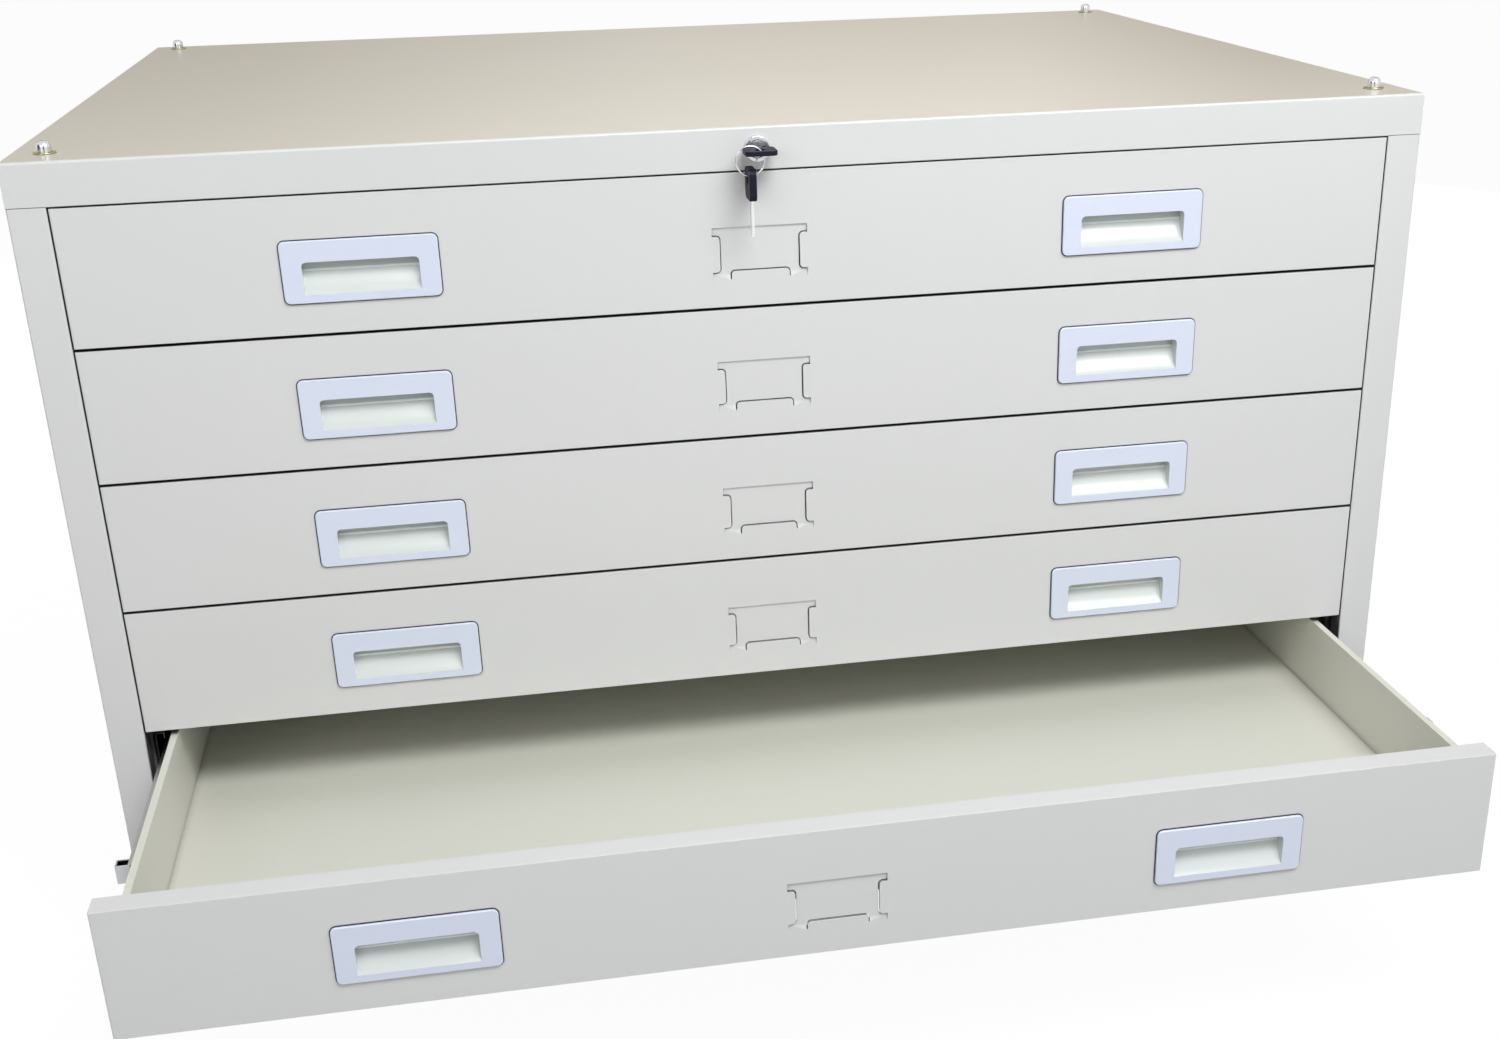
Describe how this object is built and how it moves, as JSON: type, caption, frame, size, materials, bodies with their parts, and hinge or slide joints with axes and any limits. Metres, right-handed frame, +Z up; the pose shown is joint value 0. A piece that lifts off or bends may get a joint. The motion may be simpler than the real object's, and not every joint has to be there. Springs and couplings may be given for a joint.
{
  "type": "flat file cabinet",
  "caption": "Low steel cabinet on swivel casters with shallow full-width drawers on telescopic runners, finger pulls, a top lock and stacking studs.",
  "frame": {"origin": "centre of the closed cabinet's footprint, at floor level", "axes": "+X to the right seen from the front, the drawers open towards -Y, +Z up"},
  "size_m": [1, 0.9922, 0.6545],
  "materials": {
    "body_paint": "light grey fine-texture powder coat",
    "tray_paint": "light grey powder coat",
    "pull_plastic": "satin lavender white",
    "zinc_steel": "zinc plated",
    "bright_steel": "bright nickel plate",
    "yellow_zinc": "yellow passivated zinc",
    "key_plastic": "black",
    "wheel_rubber": "dark grey",
    "pedal_plastic": "black"
  },
  "bodies": {
    "cabinet": {"top_panel": "body_paint", "left_side_panel": "body_paint", "right_side_panel": "body_paint", "back_panel": "body_paint", "bottom_panel": "body_paint", "runner_uprights": "body_paint", "cabinet_runners": "zinc_steel", "cap_screws": "zinc_steel", "stacking_studs": "bright_steel", "stud_washers": "yellow_zinc", "stud_nuts": "zinc_steel", "lock_housing": "bright_steel", "lock_nut": "zinc_steel", "lock_bar_guides": "zinc_steel", "caster_plates": "zinc_steel", "caster_bolts": "zinc_steel", "caster_nuts": "zinc_steel"},
    "lock_turn": {"lock_plug": "bright_steel", "lock_rod": "zinc_steel"},
    "lock_lift": {"lock_bar": "zinc_steel"},
    "key": {"key_blade": "bright_steel", "key_head": "key_plastic"},
    "ring": {"key_ring": "bright_steel"},
    "spare_key": {"spare_key_blade": "bright_steel", "spare_key_head": "key_plastic"},
    "drawer_1": {"drawer_front_1": "body_paint", "drawer_tray_1": "tray_paint", "drawer_handles_1": "pull_plastic", "drawer_runners_1": "zinc_steel"},
    "runner_1": {"middle_runners_1": "zinc_steel"},
    "drawer_2": {"drawer_front_2": "body_paint", "drawer_tray_2": "tray_paint", "drawer_handles_2": "pull_plastic", "drawer_runners_2": "zinc_steel"},
    "runner_2": {"middle_runners_2": "zinc_steel"},
    "drawer_3": {"drawer_front_3": "body_paint", "drawer_tray_3": "tray_paint", "drawer_handles_3": "pull_plastic", "drawer_runners_3": "zinc_steel"},
    "runner_3": {"middle_runners_3": "zinc_steel"},
    "drawer_4": {"drawer_front_4": "body_paint", "drawer_tray_4": "tray_paint", "drawer_handles_4": "pull_plastic", "drawer_runners_4": "zinc_steel"},
    "runner_4": {"middle_runners_4": "zinc_steel"},
    "drawer_5": {"drawer_front_5": "body_paint", "drawer_tray_5": "tray_paint", "drawer_handles_5": "pull_plastic", "drawer_runners_5": "zinc_steel"},
    "runner_5": {"middle_runners_5": "zinc_steel"},
    "fork_front_left": {"caster_fork_front_left": "zinc_steel"},
    "wheel_front_left": {"caster_wheel_front_left": "wheel_rubber"},
    "pedal_front_left": {"brake_pedal_front_left": "pedal_plastic"},
    "fork_front_right": {"caster_fork_front_right": "zinc_steel"},
    "wheel_front_right": {"caster_wheel_front_right": "wheel_rubber"},
    "pedal_front_right": {"brake_pedal_front_right": "pedal_plastic"},
    "fork_rear_left": {"caster_fork_rear_left": "zinc_steel"},
    "wheel_rear_left": {"caster_wheel_rear_left": "wheel_rubber"},
    "fork_rear_right": {"caster_fork_rear_right": "zinc_steel"},
    "wheel_rear_right": {"caster_wheel_rear_right": "wheel_rubber"}
  },
  "joints": [
    {"name": "drawer_1_slide", "type": "slide", "parent": "cabinet", "child": "drawer_1", "axis": [0, -1, 0], "range_m": [0, 0.56]},
    {"name": "runner_1_slide", "type": "slide", "parent": "cabinet", "child": "runner_1", "axis": [0, -1, 0], "range_m": [0, 0.4088]},
    {"name": "drawer_2_slide", "type": "slide", "parent": "cabinet", "child": "drawer_2", "axis": [0, -1, 0], "range_m": [0, 0.56]},
    {"name": "runner_2_slide", "type": "slide", "parent": "cabinet", "child": "runner_2", "axis": [0, -1, 0], "range_m": [0, 0.4088]},
    {"name": "drawer_3_slide", "type": "slide", "parent": "cabinet", "child": "drawer_3", "axis": [0, -1, 0], "range_m": [0, 0.56]},
    {"name": "runner_3_slide", "type": "slide", "parent": "cabinet", "child": "runner_3", "axis": [0, -1, 0], "range_m": [0, 0.4088]},
    {"name": "drawer_4_slide", "type": "slide", "parent": "cabinet", "child": "drawer_4", "axis": [0, -1, 0], "range_m": [0, 0.56]},
    {"name": "runner_4_slide", "type": "slide", "parent": "cabinet", "child": "runner_4", "axis": [0, -1, 0], "range_m": [0, 0.4088]},
    {"name": "drawer_5_slide", "type": "slide", "parent": "cabinet", "child": "drawer_5", "axis": [0, -1, 0], "range_m": [-0.25, 0.31]},
    {"name": "runner_5_slide", "type": "slide", "parent": "cabinet", "child": "runner_5", "axis": [0, -1, 0], "range_m": [-0.1825, 0.2263]},
    {"name": "lock_turn", "type": "hinge", "parent": "cabinet", "child": "lock_turn", "pos_m": [0, -0.37, 0.6305], "axis": [0, -1, 0], "range_deg": [0, 90]},
    {"name": "lock_lift", "type": "slide", "parent": "cabinet", "child": "lock_lift", "axis": [0, 0, 1], "range_m": [0, 0.01414]},
    {"name": "key_pull", "type": "slide", "parent": "lock_turn", "child": "key", "axis": [0, -1, 0], "range_m": [0, 0.03]},
    {"name": "ring_swing", "type": "hinge", "parent": "key", "child": "ring", "pos_m": [-0.00745, -0.387, 0.6305], "axis": [0, 1, 0], "range_deg": [-5, 5]},
    {"name": "spare_key_swing", "type": "hinge", "parent": "ring", "child": "spare_key", "pos_m": [-0.00745, -0.387, 0.615], "axis": [1, 0, 0], "range_deg": [-60, 8]},
    {"name": "swivel_front_left", "type": "hinge", "parent": "cabinet", "child": "fork_front_left", "pos_m": [-0.43, -0.3, 0.0847], "axis": [0, 0, 1], "continuous": true},
    {"name": "roll_front_left", "type": "hinge", "parent": "fork_front_left", "child": "wheel_front_left", "pos_m": [-0.43, -0.272, 0.0375], "axis": [1, 0, 0], "continuous": true},
    {"name": "press_front_left", "type": "hinge", "parent": "fork_front_left", "child": "pedal_front_left", "pos_m": [-0.43, -0.248, 0.073], "axis": [1, 0, 0], "range_deg": [-20, 0]},
    {"name": "swivel_front_right", "type": "hinge", "parent": "cabinet", "child": "fork_front_right", "pos_m": [0.43, -0.3, 0.0847], "axis": [0, 0, 1], "continuous": true},
    {"name": "roll_front_right", "type": "hinge", "parent": "fork_front_right", "child": "wheel_front_right", "pos_m": [0.43, -0.272, 0.0375], "axis": [1, 0, 0], "continuous": true},
    {"name": "press_front_right", "type": "hinge", "parent": "fork_front_right", "child": "pedal_front_right", "pos_m": [0.43, -0.248, 0.073], "axis": [1, 0, 0], "range_deg": [-20, 0]},
    {"name": "swivel_rear_left", "type": "hinge", "parent": "cabinet", "child": "fork_rear_left", "pos_m": [-0.43, 0.3, 0.0847], "axis": [0, 0, 1], "continuous": true},
    {"name": "roll_rear_left", "type": "hinge", "parent": "fork_rear_left", "child": "wheel_rear_left", "pos_m": [-0.43, 0.328, 0.0375], "axis": [1, 0, 0], "continuous": true},
    {"name": "swivel_rear_right", "type": "hinge", "parent": "cabinet", "child": "fork_rear_right", "pos_m": [0.43, 0.3, 0.0847], "axis": [0, 0, 1], "continuous": true},
    {"name": "roll_rear_right", "type": "hinge", "parent": "fork_rear_right", "child": "wheel_rear_right", "pos_m": [0.43, 0.328, 0.0375], "axis": [1, 0, 0], "continuous": true}
  ],
  "couplings": [
    {"joint": "runner_1_slide", "follows": "drawer_1_slide", "ratio": 0.73},
    {"joint": "runner_2_slide", "follows": "drawer_2_slide", "ratio": 0.73},
    {"joint": "runner_3_slide", "follows": "drawer_3_slide", "ratio": 0.73},
    {"joint": "runner_4_slide", "follows": "drawer_4_slide", "ratio": 0.73},
    {"joint": "runner_5_slide", "follows": "drawer_5_slide", "ratio": 0.73},
    {"joint": "lock_turn", "follows": "lock_lift", "rad_per_m": 111.07}
  ]
}
